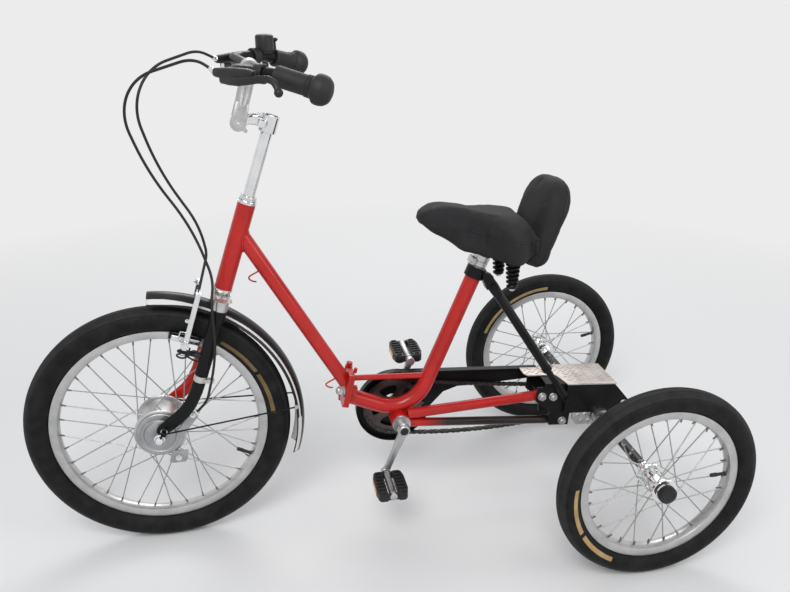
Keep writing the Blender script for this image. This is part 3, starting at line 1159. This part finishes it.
# Clamp nut of the hinge
hinge_out = ray(math.radians(13.3))
hinge_up = Vector((-hinge_out.z, 0.0, hinge_out.x))
clamp_seat = mm(57.0, 12.0, 302.0) - hinge_up * 0.004 + hinge_out * 0.0062
nut_seat = clamp_seat + hinge_out * 0.0135
form = bmesh.new()
turned(form, clamp_seat, hinge_out, ((0.0, 0.0), (0.0, 11.6), (1.6, 12.4), (3.6, 12.4), (5.0, 10.6), (5.2, 0.0)), 40)
rod(form, clamp_seat + hinge_out * 0.005, nut_seat, 0.0098, sides=6)
turned(form, nut_seat, hinge_out, ((-0.2, 8.2), (1.6, 7.8), (3.4, 6.4), (4.6, 3.8), (5.0, 0.0)), 36)
finished("hinge_clamp_nut", form, zinc_steel, "front_frame", ("frame_clamp",), 30.0)


# Welds round the main tube's upper end and the rear ends of the stays
def circle_round(centre, way, radius, count):
    """Points round a run that keeps its distance from the middle plane; radius in millimetres."""
    across = way.cross(left).normalized()
    turns = [2 * math.pi * number / count for number in range(count)]
    return [centre + (across * math.cos(turn) + left * math.sin(turn)) * radius / 1000.0 for turn in turns]


bead, main_radius, head_radius = 1.9, 14.3, 17.0
spots = []
for number, rim in enumerate(circle_round(main_start, main_way, main_radius + bead * 0.3, 48)):
    near, far = 0.0, 0.06
    for _ in range(24):
        half = (near + far) / 2
        gap = rim + main_way * half - steer_foot
        if (gap - steer_up * gap.dot(steer_up)).length * 1000.0 < head_radius + bead * 0.3:
            near = half
        else:
            far = half
    spots.append(rim + main_way * near + up * 0.0003 * math.sin(number * 2.4))
form = bmesh.new()
bent_tube(form, spots, bead, sides=8, closed=True, kind="POLY")
finished("head_weld", form, red_paint, "front_frame", (), 60.0)
form = bmesh.new()
for front, rear, radius in (
        (mm(-66, 22, 237.5), mm(-404, 22, 253.5), 11.0), (mm(-66, 22, 217), mm(-414, 22, 185), 9.0)):
    run = (rear - front).normalized()
    bent_tube(form, circle_round(rear - run * 0.002, run, radius + 0.6, 32), 1.6, sides=8, closed=True, kind="POLY")
finished("stay_welds", form, black_paint, "rear_frame", (), 60.0)

# Hooks for the cable under the main tube
main_below = Vector((-main_way.z, 0.0, main_way.x))
hook = (
    # out from the tube's middle, down along it, to the left
    (12.0, 0.0, 2.0), (20.0, 0.0, 2.0), (32.0, -1.0, 1.0), (37.0, 2.0, 0.0), (36.0, 9.0, -1.0), (31.0, 16.0, -2.0),
    (28.0, 17.0, -2.0),
)
form = bmesh.new()
for share in (0.215, 0.93):
    foot = main_start + (main_end - main_start) * share
    bent_tube(form, [
        foot + (main_below * out + main_way * down + left * side) / 1000.0 for out, down, side in hook
    ], 1.6, sides=10)
finished("cable_hooks", form, red_paint, "front_frame", (), 60.0)


# Floor, light and camera
def seen_rays(tree):
    """1 for what the camera sees, straight or in metal and glass, and 0 for light on the object."""
    rays = joined(tree, "LightPath", {}, "Is Camera Ray").node.outputs
    straight = math_node(tree, "MAXIMUM", rays["Is Camera Ray"], rays["Is Glossy Ray"])
    return math_node(tree, "MAXIMUM", straight, rays["Is Transmission Ray"])


backdrop = (0.84, 0.84, 0.84)
floor_mesh = bpy.data.meshes.new("floor")
floor_form = bmesh.new()
bmesh.ops.create_grid(floor_form, x_segments=1, y_segments=1, size=60.0)
floor_form.to_mesh(floor_mesh)
floor_form.free()
floor = bpy.data.objects.new("floor", floor_mesh)
floor.location.z = -0.0005
scene.collection.objects.link(floor)
floor_finish, tree, bsdf, where = shader("floor_finish", (0.8, 0.8, 0.795), 0.9)
distance = joined(tree, "VectorMath", {0: where}, "Value", operation="LENGTH")
far_share = math_node(tree, "MULTIPLY", remap(tree, distance, 0.0, 1.0, 1.1, 2.6), seen_rays(tree))
far_glow = joined(tree, "Emission", {"Color": backdrop}, "Emission")
surface = joined(tree, "MixShader", {"Fac": far_share, 1: bsdf.outputs["BSDF"], 2: far_glow}, "Shader")
feed(tree, tree.nodes["Material Output"].inputs["Surface"], surface)
floor.data.materials.append(floor_finish)

world = bpy.data.worlds.new("studio")
scene.world = world
world.use_nodes = True
sky = world.node_tree
background = sky.nodes["Background"]
feed(sky, background.inputs["Color"], (0.93, 0.95, 1.0))
feed(sky, background.inputs["Strength"], 0.5)
seen = joined(sky, "Background", {"Color": backdrop, "Strength": 1.0}, "Background")
surface = joined(sky, "MixShader", {"Fac": seen_rays(sky), 1: background.outputs["Background"], 2: seen}, "Shader")
feed(sky, sky.nodes["World Output"].inputs["Surface"], surface)

middle = Vector((0.0, 0.0, 0.45))
for name, place, (wide, tall), power in (
        ("key", (0.9, 2.2, 2.9), (1.8, 1.4), 60.0), ("fill", (-2.4, 1.8, 1.6), (1.6, 1.6), 18.0),
        ("rim", (-0.6, -2.4, 2.3), (2.2, 1.0), 30.0)):
    data = bpy.data.lights.new(name, "AREA")
    data.shape = "RECTANGLE"
    data.size, data.size_y = wide, tall
    data.energy = power
    lamp = bpy.data.objects.new(name, data)
    scene.collection.objects.link(lamp)
    lamp.location = place
    lamp.rotation_euler = (middle - Vector(place)).to_track_quat("-Z", "Y").to_euler()

camera_place = Vector((0.2427154, 1.4374542, 1.0820535))
camera_yaw = 0.19654817
camera_pitch = 0.38028661
focal_share = 791.26422515 / 790.0
ahead = Vector((
    -math.sin(camera_yaw) * math.cos(camera_pitch), -math.cos(camera_yaw) * math.cos(camera_pitch),
    -math.sin(camera_pitch),
))
across = Vector((-math.cos(camera_yaw), math.sin(camera_yaw), 0.0))
camera_data = bpy.data.cameras.new("camera")
camera_data.sensor_width = 36.0
camera_data.lens = camera_data.sensor_width * focal_share
camera = bpy.data.objects.new("camera", camera_data)
scene.collection.objects.link(camera)
turn = Matrix((across, across.cross(ahead), -ahead)).transposed()
camera.matrix_world = Matrix.Translation(camera_place) @ turn.to_4x4()
scene.camera = camera
scene.view_settings.view_transform = "Standard"
